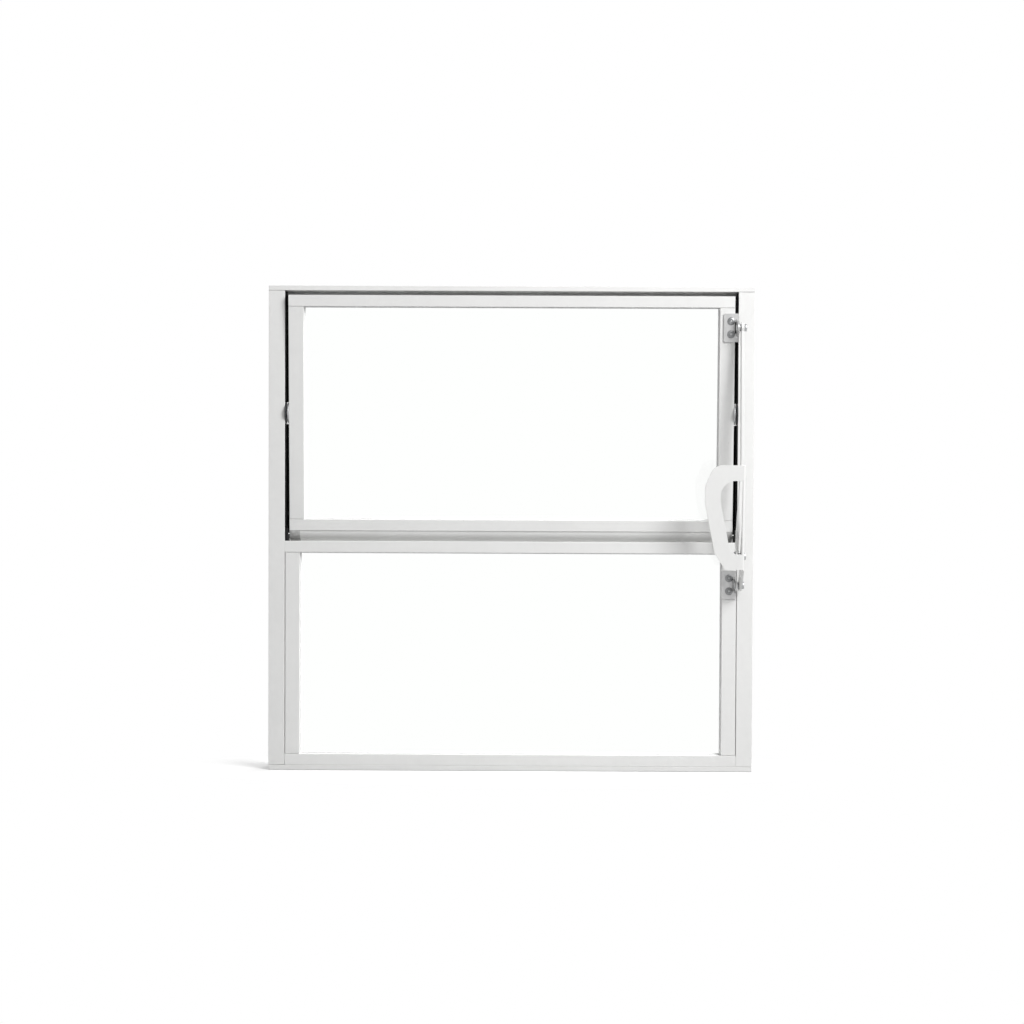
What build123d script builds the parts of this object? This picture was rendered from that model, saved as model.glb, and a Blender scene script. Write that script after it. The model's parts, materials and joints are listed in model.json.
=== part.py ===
# Pivot window of coated aluminium: a square frame with a tilting upper sash, worked by a
# lever and link rod on the room side, over a fixed light.
# Millimetres. X to the right seen from the room, Y from the room to the outside, Z up.
# The origin is the middle of the sill's underside. The window stands a little open.
from build123d import *
import os
from math import acos, atan2, cos, degrees, hypot, radians, sin

os.makedirs("parts", exist_ok=True)

# Overall frame
WIDTH = 600.0
HEIGHT = 600.0
FRAME_DEPTH = 40.0
JAMB_FACE = 20.0
PLATE = 6.0
WALL = 1.4
EDGE = 0.6

# Sash and fixed light sections
RAIL_FACE = 14.0
STILE_FACE = 18.5
SECTION_DEPTH = 22.0
TRANSOM_TOP = 284.5
UPSTAND = 2.0
GUTTER_FALL = 0.8
BLOCK_HEIGHT = 14.5
BLOCK_BRIM = 22.0
BLOCK_BRIM_DEPTH = 5.0
BLOCK_SIDE_GAP = 1.2
JOINT = 0.8
JOINT_DEPTH = 3.0
BUTT_JOINT = 0.6
BUTT_JOINT_DEPTH = 1.0

# Glazing
GLASS = 4.0
GASKET_SIDE = 2.0
GASKET_BASE = 1.5
GASKET_LIP = 1.2
GROOVE_DEPTH = 6.0

# Sash clearances, drip and pile
SIDE_GAP = 5.0
TOP_GAP = 5.5
DRIP_DROP = 14.5
DRIP_REACH = 12.0
DRIP_PAD = 13.0
DRIP_PAD_THICK = 0.8
DRIP_WALL = 1.6
DRIP_SETBACK = 1.2
GUTTER_GAP = 5.0
PILE_MOUTH = 3.0
PILE_BACK = 5.4
PILE_BACK_THICK = 1.0
PILE_FREE = 1.0
PILE_PIVOT_SPACE = 14.0
STOP_BOX_DEPTH = 9.0
STOP_BOX_HEIGHT = 16.0
STOP_GAP = 6.0

# Pivot
PIVOT_BACK = 9.0
PIVOT_PIN = 8.0
PIVOT_SEAT = 9.0
PIVOT_END = 6.0
PIVOT_COLLAR = 26.0
PIVOT_COLLAR_THICK = 1.5
BUSH_FLANGE = 26.0
BUSH_FLANGE_THICK = 1.6
BUSH_WALL = 2.0
BUSH_LENGTH = 8.0
RUNNING = 0.1
REST_TILT = 3.0

# Brackets
BRACKET_WIDTH = 18.0
BRACKET_HEIGHT = 35.0
BRACKET_PLATE = 2.0
EAR = 2.5
EAR_ROOT = 21.0
EAR_TIP = 6.5
EAR_OFFSET = 1.5
SLOT_WIDTH = 2.6
SLOT_HEIGHT = 14.0
PIN_STANDOFF = 12.0
SCREW_HOLE = 4.2
SCREW_SPREAD = 16.0
SCREW_INSET = 9.0
BRACKET_CORNER = 2.0
SASH_BRACKET_DROP = 38.5
LEVER_BRACKET_DROP = 38.0
BRACKET_FOLD = 2.0

# Lever, link rod and their pins
LINK_ARM = 41.0
LINK_LEAN = 22.0
LEVER_SHEET = 3.0
LEVER_TAIL = 7.0
LINK_EYE = 8.0
FLANGE_TOP = 6.0
FLANGE_WAIST = 8.0
FLANGE_WAIST_Z = 75.0
GRIP_FRONT = 30.0
GRIP_WIDTH = 48.8
GRIP_BOTTOM = 23.0
GRIP_TOP = 150.5
GRIP_BAND = 18.8
GRIP_HEEL = 23.5
GRIP_KNEE = 36.5
GRIP_KNEE_RISE = 21.0
GRIP_SHOULDER_DROP = 46.5
GRIP_CORNER_DROP = 25.0
GRIP_CORNER_RUN = 11.0
GRIP_HEEL_ROUND = 3.0
GRIP_KNEE_ROUND = 15.0
GRIP_SHOULDER_ROUND = 40.0
GRIP_LOW_ROUND = 30.0
GRIP_HIGH_ROUND = 16.0
GRIP_HOLE_TOP = 18.5
GRIP_HOLE_CORNER = 9.0
GRIP_FOLD = 2.5
PIN = 5.0
PIN_HEAD = 9.0
PIN_HEAD_THICK = 3.0
PIN_COLLAR = 8.5
PIN_PEEN = 1.5
LEVER_GAP = 2.0
ROD_THICK = 3.6
ROD_WIDTH = 10.0
ROD_EYE = 6.5
ROD_JOGGLE = 6.6
ROD_JOGGLE_START = 12.0
ROD_JOGGLE_LENGTH = 105.0
ROD_BEND = 20.0
LINK_PLAY = 1.7
LINK_EYE_WALL = 3.0
SIDE_PLAY = 0.3

# Fixing holes in the jambs
FIX_HOLE = 6.0
FIX_INSET = 8.0
FIX_LOW = 100.0
FIX_DROP = 80.0

# Derived levels and planes
FRONT = -FRAME_DEPTH / 2
BACK = FRAME_DEPTH / 2
REVEAL = WIDTH / 2 - JAMB_FACE
HEAD_UNDER = HEIGHT - PLATE
SECTION_BACK = FRONT + SECTION_DEPTH
GROOVE = GLASS + 2 * GASKET_SIDE
GROOVE_FRONT = (SECTION_DEPTH - GROOVE) / 2
TRANSOM_UNDER = TRANSOM_TOP - RAIL_FACE
GUTTER = TRANSOM_UNDER + GROOVE_DEPTH + WALL
SASH_HALF = REVEAL - SIDE_GAP
SASH_TOP = HEAD_UNDER - TOP_GAP
DRIP_TIP = GUTTER + GUTTER_GAP
SASH_UNDER = DRIP_TIP + DRIP_DROP
PIVOT_Y = FRONT + PIVOT_BACK
PIVOT_Z = (SASH_UNDER + SASH_TOP) / 2
STOP_FACE = SECTION_BACK + STOP_GAP
PILE_SLOT = PILE_BACK_THICK + WALL
EAR_RIGHT = SASH_HALF + EAR_OFFSET + EAR
EAR_LEFT = EAR_RIGHT - EAR
FLANGE_LEFT = EAR_RIGHT + LEVER_GAP
FLANGE_RIGHT = FLANGE_LEFT + LEVER_SHEET
ROD_HIGH_X = EAR_RIGHT + LEVER_GAP + ROD_THICK / 2
ROD_LOW_X = ROD_HIGH_X - ROD_JOGGLE
PIN_Y = FRONT - PIN_STANDOFF
SASH_BRACKET_Z = SASH_TOP - SASH_BRACKET_DROP
LEVER_BRACKET_Z = TRANSOM_UNDER - LEVER_BRACKET_DROP
FIX_HIGH = HEIGHT - FIX_DROP


# Linkage at rest
def turned(point, centre, angle):
    """A point (y, z) turned about a centre, its top toward the room for a positive angle."""
    y = point[0] - centre[0]
    z = point[1] - centre[1]
    s = sin(radians(angle))
    c = cos(radians(angle))
    return (centre[0] + y * c - z * s, centre[1] + y * s + z * c)


PIVOT = (PIVOT_Y, PIVOT_Z)
LEVER_PIN = (PIN_Y, LEVER_BRACKET_Z)
ARM_TIP = turned((PIN_Y, LEVER_BRACKET_Z + LINK_ARM), LEVER_PIN, LINK_LEAN)
ROD_LENGTH = hypot(PIN_Y - ARM_TIP[0], SASH_BRACKET_Z - ARM_TIP[1])
ROD_TOP = turned((PIN_Y, SASH_BRACKET_Z), PIVOT, REST_TILT)
REACH_Y = ROD_TOP[0] - LEVER_PIN[0]
REACH_Z = ROD_TOP[1] - LEVER_PIN[1]
REACH = hypot(REACH_Y, REACH_Z)
SPREAD = (REACH**2 + LINK_ARM**2 - ROD_LENGTH**2) / (2 * REACH * LINK_ARM)
ARM_ANGLE = degrees(atan2(-REACH_Y, REACH_Z) + acos(min(1.0, SPREAD)))
LEVER_ANGLE = ARM_ANGLE - LINK_LEAN
ARM_REST = turned((PIN_Y, LEVER_BRACKET_Z + LINK_ARM), LEVER_PIN, ARM_ANGLE)
ROD_ANGLE = degrees(atan2(ARM_REST[0] - ROD_TOP[0], ROD_TOP[1] - ARM_REST[1]))

# Places that turn with the sash, the lever and the rod
SASH_PLACE = Location((0, PIVOT_Y, PIVOT_Z), (REST_TILT, 0, 0)) * Location((0, -PIVOT_Y, -PIVOT_Z))
LEVER_PLACE = Location((0, PIN_Y, LEVER_BRACKET_Z), (LEVER_ANGLE, 0, 0))
ROD_PLACE = Location((0, ROD_TOP[0], ROD_TOP[1]), (ROD_ANGLE, 0, 0))
FIXED = Location((0, 0, 0))


def on(place, plane):
    """A working plane carried along by a place."""
    return Plane(place * plane.location)


def along_x(place, x):
    """A plane across X, where a drawing reads (Y, Z)."""
    return on(place, Plane.YZ.offset(x))


def along_z(place, z):
    """A plane across Z, where a drawing reads (X, Y)."""
    return on(place, Plane.XY.offset(z))


def facing_room(place, y):
    """A plane facing the room, where a drawing reads (X, Z)."""
    return on(place, Plane.XZ.offset(-y))


def glazing_section(face, inset=0.0, slot=False, joint=False):
    """Corners (across, depth) of a glazing bar: outer edge at 0, glass groove at the inner edge.

    An inset draws the chamber inside the walls. A slot cuts the T of a pile strip in the outer edge,
    and a joint steps the outer edge back at the front, which leaves a shadow line beside a jamb.
    """
    inner = face - inset
    floor = face - GROOVE_DEPTH - inset
    groove_1 = GROOVE_FRONT - inset
    groove_2 = GROOVE_FRONT + GROOVE + inset
    back = SECTION_DEPTH - inset
    corners = [(inset, inset), (inner, inset), (inner, groove_1), (floor, groove_1)]
    corners += [(floor, groove_2), (inner, groove_2), (inner, back), (inset, back)]
    if joint:
        corners = [(JOINT, 0), *corners[1:], (0, JOINT_DEPTH), (JOINT, JOINT_DEPTH)]
    if slot:
        mid = SECTION_DEPTH / 2
        half = PILE_BACK / 2 + inset
        deep = PILE_SLOT + inset
        if inset:
            corners += [(inset, mid + half), (deep, mid + half), (deep, mid - half), (inset, mid - half)]
        else:
            mouth = PILE_MOUTH / 2
            corners += [(0, mid + mouth), (WALL, mid + mouth), (WALL, mid + half), (deep, mid + half)]
            corners += [(deep, mid - half), (WALL, mid - half), (WALL, mid - mouth), (0, mid - mouth)]
    return corners


def butt_joints(place, x, face, z_low, z_high):
    """The two shallow rebates that leave a shadow line across the ends of an upright's face."""
    with BuildPart() as rebates:
        with BuildSketch(facing_room(place, FRONT + BUTT_JOINT_DEPTH)):
            with Locations((x, z_low)):
                Rectangle(face, BUTT_JOINT, align=(Align.CENTER, Align.MIN))
            with Locations((x, z_high)):
                Rectangle(face, BUTT_JOINT, align=(Align.CENTER, Align.MAX))
        extrude(amount=BUTT_JOINT_DEPTH)
    return rebates.part


def upright(place, side, half, z_low, z_high, slot=False):
    """A stile on the given side: the glazing section drawn across Z, its outer edge at half."""
    drawn = glazing_section(STILE_FACE, 0, slot, joint=not slot)
    outer = [(side * (half - a), FRONT + d) for a, d in drawn]
    chamber = [(side * (half - a), FRONT + d) for a, d in glazing_section(STILE_FACE, WALL, slot)]
    with BuildPart() as bar:
        with BuildSketch(along_z(place, z_low)) as section:
            with BuildLine():
                Polyline(outer, close=True)
            make_face()
            fillet(section.vertices().group_by(Axis.Y)[0], EDGE)
            with BuildLine():
                Polyline(chamber, close=True)
            make_face(mode=Mode.SUBTRACT)
        extrude(amount=z_high - z_low)
        middle = side * (half - STILE_FACE / 2)
        add(butt_joints(place, middle, STILE_FACE, z_low, z_high), mode=Mode.SUBTRACT)
    return bar


def crossbar(place, half, outer_z, inward):
    """A rail: the glazing section drawn across X, its outer edge at outer_z."""
    outer = [(FRONT + d, outer_z + inward * a) for a, d in glazing_section(RAIL_FACE)]
    chamber = [(FRONT + d, outer_z + inward * a) for a, d in glazing_section(RAIL_FACE, WALL)]
    with BuildPart() as bar:
        with BuildSketch(along_x(place, -half)) as section:
            with BuildLine():
                Polyline(outer, close=True)
            make_face()
            fillet(section.vertices().group_by(Axis.X)[0], EDGE)
            with BuildLine():
                Polyline(chamber, close=True)
            make_face(mode=Mode.SUBTRACT)
        extrude(amount=2 * half)
    return bar


def flat_plate(middle):
    """Sill or head: a flat three-chamber section drawn across X at the given mid-height."""
    chamber = (FRAME_DEPTH - 4 * WALL) / 3
    with BuildPart() as plate:
        with BuildSketch(along_x(FIXED, -WIDTH / 2)):
            with Locations((0, middle)):
                RectangleRounded(FRAME_DEPTH, PLATE, EDGE)
                with GridLocations(chamber + WALL, 0, 3, 1):
                    Rectangle(chamber, PLATE - 2 * WALL, mode=Mode.SUBTRACT)
        extrude(amount=WIDTH)
    return plate


def save(piece, name):
    """Label one finished piece and write it."""
    piece.part.label = name
    export_step(piece.part, f"parts/{name}.step")


# Sill and head: flat hollow plates that run over the ends of the jambs
save(flat_plate(PLATE / 2), "sill")

# The head also carries a stop box behind the sash, cut back to pass between the jambs
STOP_MID = HEAD_UNDER - STOP_BOX_HEIGHT / 2
with BuildPart() as head:
    add(flat_plate(HEIGHT - PLATE / 2).part)
    with BuildSketch(along_x(FIXED, -REVEAL)):
        with Locations((STOP_FACE, STOP_MID)):
            Rectangle(STOP_BOX_DEPTH, STOP_BOX_HEIGHT, align=(Align.MIN, Align.CENTER))
            Rectangle(WALL, PILE_MOUTH, align=(Align.MIN, Align.CENTER), mode=Mode.SUBTRACT)
        with Locations((STOP_FACE + WALL, STOP_MID)):
            Rectangle(PILE_BACK_THICK, PILE_BACK, align=(Align.MIN, Align.CENTER), mode=Mode.SUBTRACT)
        with Locations((STOP_FACE + PILE_SLOT + WALL, STOP_MID)):
            Rectangle(
                STOP_BOX_DEPTH - PILE_SLOT - 2 * WALL,
                STOP_BOX_HEIGHT - 2 * WALL,
                align=(Align.MIN, Align.CENTER),
                mode=Mode.SUBTRACT,
            )
    extrude(amount=2 * REVEAL)
save(head, "head")

with BuildPart() as head_pile:
    with BuildSketch(along_x(FIXED, -REVEAL)):
        with Locations((STOP_FACE + WALL, STOP_MID)):
            Rectangle(PILE_BACK_THICK, PILE_BACK, align=(Align.MIN, Align.CENTER))
            Rectangle(WALL + STOP_GAP - PILE_FREE, PILE_MOUTH, align=(Align.MAX, Align.CENTER))
    extrude(amount=2 * REVEAL)
save(head_pile, "head_pile")

# Jambs: hollow posts between sill and head, with a pivot bush and two wall fixings each
BUSH_BODY = PIVOT_PIN + 2 * RUNNING + 2 * BUSH_WALL
for name, side in (("left", -1), ("right", 1)):
    middle = side * (REVEAL + JAMB_FACE / 2)
    with BuildPart() as jamb:
        with BuildSketch(along_z(FIXED, PLATE)):
            with Locations((middle, 0)):
                RectangleRounded(JAMB_FACE, FRAME_DEPTH, EDGE)
                Rectangle(JAMB_FACE - 2 * WALL, FRAME_DEPTH - 2 * WALL, mode=Mode.SUBTRACT)
        extrude(amount=HEAD_UNDER - PLATE)
        add(butt_joints(FIXED, middle, JAMB_FACE, PLATE, HEAD_UNDER), mode=Mode.SUBTRACT)
        with BuildSketch(along_x(FIXED, side * REVEAL)):
            with Locations((PIVOT_Y, PIVOT_Z)):
                Circle(BUSH_BODY / 2)
        extrude(amount=side * WALL, mode=Mode.SUBTRACT)
        with BuildSketch(along_x(FIXED, side * REVEAL)):
            with Locations((BACK - FIX_INSET, FIX_LOW), (BACK - FIX_INSET, FIX_HIGH)):
                Circle(FIX_HOLE / 2)
        extrude(amount=side * JAMB_FACE, mode=Mode.SUBTRACT)
    save(jamb, f"{name}_jamb")

    with BuildPart() as bush:
        with BuildSketch(along_x(FIXED, side * REVEAL)):
            with Locations((PIVOT_Y, PIVOT_Z)):
                Circle(BUSH_FLANGE / 2)
        extrude(amount=-side * BUSH_FLANGE_THICK)
        with BuildSketch(along_x(FIXED, side * REVEAL)):
            with Locations((PIVOT_Y, PIVOT_Z)):
                Circle(BUSH_BODY / 2)
        extrude(amount=side * BUSH_LENGTH)
        with BuildSketch(along_x(FIXED, side * (REVEAL - BUSH_FLANGE_THICK))):
            with Locations((PIVOT_Y, PIVOT_Z)):
                Circle(PIVOT_PIN / 2 + RUNNING)
        extrude(amount=side * (BUSH_FLANGE_THICK + BUSH_LENGTH), mode=Mode.SUBTRACT)
    save(bush, f"{name}_pivot_bush")

# Transom: glazing groove below, gutter with a front upstand above
with BuildPart() as transom:
    groove_front = FRONT + GROOVE_FRONT
    groove_back = groove_front + GROOVE
    groove_top = TRANSOM_UNDER + GROOVE_DEPTH
    with BuildSketch(along_x(FIXED, -REVEAL)) as section:
        with BuildLine():
            Polyline(
                (FRONT, TRANSOM_UNDER),
                (groove_front, TRANSOM_UNDER),
                (groove_front, groove_top),
                (groove_back, groove_top),
                (groove_back, TRANSOM_UNDER),
                (SECTION_BACK, TRANSOM_UNDER),
                (SECTION_BACK, GUTTER - GUTTER_FALL),
                (FRONT + UPSTAND, GUTTER),
                (FRONT + UPSTAND, TRANSOM_TOP),
                (FRONT, TRANSOM_TOP),
                close=True,
            )
        make_face()
        fillet(section.vertices().group_by(Axis.X)[0], EDGE)
        chamber_low = TRANSOM_UNDER + WALL
        with Locations((groove_front - WALL, chamber_low), (SECTION_BACK - WALL, chamber_low)):
            Rectangle(
                GROOVE_FRONT - 2 * WALL,
                GROOVE_DEPTH - WALL - GUTTER_FALL,
                align=(Align.MAX, Align.MIN),
                mode=Mode.SUBTRACT,
            )
    extrude(amount=2 * REVEAL)
save(transom, "transom")

# Rubber blocks that close the ends of the gutter, in the gap beside the sash
BLOCK_INNER = SASH_HALF + BLOCK_SIDE_GAP
for name, side in (("left", -1), ("right", 1)):
    with BuildPart() as gutter_block:
        with BuildSketch(along_x(FIXED, side * BLOCK_INNER)) as section:
            with BuildLine():
                Polyline(
                    (FRONT + UPSTAND, GUTTER),
                    (SECTION_BACK, GUTTER - GUTTER_FALL),
                    (SECTION_BACK, GUTTER + BLOCK_HEIGHT),
                    (FRONT + UPSTAND + BLOCK_BRIM_DEPTH, GUTTER + BLOCK_HEIGHT),
                    (FRONT + UPSTAND + BLOCK_BRIM_DEPTH, GUTTER + BLOCK_BRIM),
                    (FRONT + UPSTAND, GUTTER + BLOCK_BRIM),
                    close=True,
                )
            make_face()
        extrude(amount=side * (REVEAL - BLOCK_INNER))
    save(gutter_block, f"{name}_gutter_block")

# Fixed light below: rail on the sill, stiles against the jambs
LIGHT_LOW = PLATE + RAIL_FACE
save(crossbar(FIXED, REVEAL, PLATE, 1), "lower_bottom_rail")
save(upright(FIXED, -1, REVEAL, LIGHT_LOW, TRANSOM_UNDER), "lower_left_stile")
save(upright(FIXED, 1, REVEAL, LIGHT_LOW, TRANSOM_UNDER), "lower_right_stile")

# Tilting sash: rails run through, stiles stand between them
SASH_LOW = SASH_UNDER + RAIL_FACE
SASH_HIGH = SASH_TOP - RAIL_FACE
PILE_DEPTH = FRONT + SECTION_DEPTH / 2


def brush_seal(side):
    """Brush seal in the sash's side edge, in two lengths that leave the pivot free."""
    lengths = ((SASH_UNDER, PIVOT_Z - PILE_PIVOT_SPACE), (PIVOT_Z + PILE_PIVOT_SPACE, SASH_TOP))
    root = SASH_HALF - WALL
    tuft = WALL + SIDE_GAP - PILE_FREE
    with BuildPart() as seal:
        for low, high in lengths:
            with BuildSketch(along_z(SASH_PLACE, low)):
                with Locations((side * (root - PILE_BACK_THICK / 2), PILE_DEPTH)):
                    Rectangle(PILE_BACK_THICK, PILE_BACK)
                with Locations((side * (root + tuft / 2), PILE_DEPTH)):
                    Rectangle(tuft, PILE_MOUTH)
            extrude(amount=high - low)
    return seal


def slotted_rail(outer_z, inward):
    """A sash rail, slotted at both ends for the brush seals."""
    with BuildPart() as rail:
        add(crossbar(SASH_PLACE, SASH_HALF, outer_z, inward).part)
        add(brush_seal(-1).part, mode=Mode.SUBTRACT)
        add(brush_seal(1).part, mode=Mode.SUBTRACT)
    return rail


save(slotted_rail(SASH_TOP, -1), "sash_top_rail")


def drip_sheet(x, width, front, back):
    """A curved sheet under the sash, from x along its width, between two depths of the same curve."""
    with BuildPart() as sheet:
        with BuildSketch(along_x(SASH_PLACE, x)):
            with BuildLine():
                arcs = [
                    TangentArc((y, SASH_UNDER), (y + DRIP_REACH, DRIP_TIP + rise), tangent=(0, -1))
                    for y, rise in (front, back)
                ]
                Line(arcs[0] @ 1, arcs[1] @ 1)
                Line(arcs[0] @ 0, arcs[1] @ 0)
            make_face()
        extrude(amount=width)
    return sheet


# The bottom rail flares into a drip lip, with a rubber pad over each end of it
DRIP_TOP = FRONT + DRIP_SETBACK
with BuildPart() as sash_bottom_rail:
    add(slotted_rail(SASH_UNDER, 1).part)
    lip = ((DRIP_TOP, 0), (DRIP_TOP + DRIP_WALL, DRIP_WALL))
    add(drip_sheet(-SASH_HALF, 2 * SASH_HALF, *lip).part)
save(sash_bottom_rail, "sash_bottom_rail")

for name, x in (("left", -SASH_HALF), ("right", SASH_HALF - DRIP_PAD)):
    pad = ((DRIP_TOP - DRIP_PAD_THICK, 0), (DRIP_TOP, 0))
    save(drip_sheet(x, DRIP_PAD, *pad), f"{name}_drip_pad")

for name, side in (("left", -1), ("right", 1)):
    with BuildPart() as sash_stile:
        add(upright(SASH_PLACE, side, SASH_HALF, SASH_LOW, SASH_HIGH, slot=True).part)
        with BuildSketch(along_x(SASH_PLACE, side * SASH_HALF)):
            with Locations((PIVOT_Y, PIVOT_Z)):
                Circle(PIVOT_PIN / 2)
        extrude(amount=-side * PIVOT_SEAT, mode=Mode.SUBTRACT)
    save(sash_stile, f"sash_{name}_stile")
    save(brush_seal(side), f"sash_{name}_pile")

    with BuildPart() as pivot_pin:
        with BuildSketch(along_x(SASH_PLACE, side * (SASH_HALF - PIVOT_SEAT))):
            with Locations((PIVOT_Y, PIVOT_Z)):
                Circle(PIVOT_PIN / 2)
        extrude(amount=side * (PIVOT_SEAT + SIDE_GAP + PIVOT_END))
        with BuildSketch(along_x(SASH_PLACE, side * SASH_HALF)):
            with Locations((PIVOT_Y, PIVOT_Z)):
                Circle(PIVOT_COLLAR / 2)
        extrude(amount=side * PIVOT_COLLAR_THICK)
    save(pivot_pin, f"{name}_pivot_pin")

# Panes, each in a U-shaped gasket that shows a thin lip round the glass
PANE_MID = FRONT + SECTION_DEPTH / 2
PANES = (
    ("lower", FIXED, REVEAL - STILE_FACE, LIGHT_LOW, TRANSOM_UNDER),
    ("sash", SASH_PLACE, SASH_HALF - STILE_FACE, SASH_LOW, SASH_HIGH),
)
for name, place, half, low, high in PANES:
    middle = (0, (low + high) / 2)
    bite = GROOVE_DEPTH - GASKET_BASE
    with BuildPart() as pane:
        with BuildSketch(facing_room(place, PANE_MID + GLASS / 2)):
            with Locations(middle):
                Rectangle(2 * (half + bite), high - low + 2 * bite)
        extrude(amount=GLASS)
    save(pane, f"{name}_glass")

    with BuildPart() as gasket:
        with BuildSketch(facing_room(place, PANE_MID + GROOVE / 2)):
            with Locations(middle):
                Rectangle(2 * (half + GROOVE_DEPTH), high - low + 2 * GROOVE_DEPTH)
                Rectangle(2 * (half - GASKET_LIP), high - low - 2 * GASKET_LIP, mode=Mode.SUBTRACT)
        extrude(amount=GROOVE)
        add(pane.part, mode=Mode.SUBTRACT)
    save(gasket, f"{name}_gasket")

# Brackets: a riveted plate with a forward ear, slotted at the bend, drawn about its fold
with BuildPart() as pressing:
    with BuildSketch(facing_room(FIXED, 0)) as plate:
        Rectangle(BRACKET_WIDTH, BRACKET_HEIGHT, align=(Align.MAX, Align.CENTER))
        fillet(plate.vertices().group_by(Axis.X)[0], BRACKET_CORNER)
        with Locations((-EAR, 0)):
            Rectangle(SLOT_WIDTH, SLOT_HEIGHT, align=(Align.MAX, Align.CENTER), mode=Mode.SUBTRACT)
        with Locations((-SCREW_INSET, 0)):
            with GridLocations(0, SCREW_SPREAD, 1, 2):
                Circle(SCREW_HOLE / 2, mode=Mode.SUBTRACT)
    extrude(amount=BRACKET_PLATE)
    with BuildSketch(along_x(FIXED, -EAR)):
        Rectangle(BRACKET_PLATE, EAR_ROOT, align=(Align.MAX, Align.CENTER))
        with Locations((-PIN_STANDOFF, 0)):
            Circle(EAR_TIP)
        make_hull()
        with Locations((-PIN_STANDOFF, 0)):
            Circle(PIN / 2, mode=Mode.SUBTRACT)
    extrude(amount=EAR)
    fillet(pressing.edges().sort_by_distance((0, 0, 0))[0], BRACKET_FOLD)

# The same pressing serves twice: high on the sash and low on the fixed light
BRACKETS = (("sash", SASH_PLACE, SASH_BRACKET_Z), ("lever", FIXED, LEVER_BRACKET_Z))
for name, place, level in BRACKETS:
    with BuildPart() as bracket:
        with Locations(place * Pos(EAR_RIGHT, FRONT, level)):
            add(pressing.part)
    save(bracket, f"{name}_bracket")

# Link rod: a flat bar, joggled sideways from the sash ear to the lever flange
with BuildPart() as link_rod:
    bend = ROD_JOGGLE_START - ROD_LENGTH
    with BuildSketch(facing_room(ROD_PLACE, ROD_WIDTH / 2)):
        with BuildLine():
            FilletPolyline(
                (ROD_LOW_X, -ROD_LENGTH),
                (ROD_LOW_X, bend),
                (ROD_HIGH_X, bend + ROD_JOGGLE_LENGTH),
                (ROD_HIGH_X, 0),
                radius=ROD_BEND,
            )
        trace(line_width=ROD_THICK)
    extrude(amount=ROD_WIDTH)
    ends = (
        (ROD_HIGH_X, 0, ROD_EYE, PIN / 2 + RUNNING),
        (ROD_LOW_X, -ROD_LENGTH, PIN / 2 + LINK_PLAY + LINK_EYE_WALL, PIN / 2 + LINK_PLAY),
    )
    for x, z, eye, bore in ends:
        with BuildSketch(along_x(ROD_PLACE, x - ROD_THICK / 2)):
            with Locations((0, z)):
                Circle(eye)
        extrude(amount=ROD_THICK)
        with BuildSketch(along_x(ROD_PLACE, x - ROD_THICK / 2)):
            with Locations((0, z)):
                Circle(bore)
        extrude(amount=ROD_THICK, mode=Mode.SUBTRACT)
save(link_rod, "link_rod")


# Corners (X, height) of the D-shaped grip, and the rounding of each
GRIP_LEFT = FLANGE_RIGHT - GRIP_WIDTH
HEEL = (FLANGE_RIGHT - GRIP_HEEL, GRIP_BOTTOM)
KNEE = (FLANGE_RIGHT - GRIP_KNEE, GRIP_BOTTOM + GRIP_KNEE_RISE)
SHOULDER = (GRIP_LEFT, GRIP_TOP - GRIP_SHOULDER_DROP)
CORNER_LOW = (GRIP_LEFT, GRIP_TOP - GRIP_CORNER_DROP)
CORNER_HIGH = (GRIP_LEFT + GRIP_CORNER_RUN, GRIP_TOP)
ROUNDING = (
    (HEEL, GRIP_HEEL_ROUND),
    (KNEE, GRIP_KNEE_ROUND),
    (SHOULDER, GRIP_SHOULDER_ROUND),
    (CORNER_LOW, GRIP_LOW_ROUND),
    (CORNER_HIGH, GRIP_HIGH_ROUND),
)


def grip_outline(right, corner):
    """The grip's corners from its heel round to the top, closed at right."""
    return [(right, GRIP_BOTTOM), HEEL, KNEE, SHOULDER, *corner, (right, GRIP_TOP)]


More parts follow.
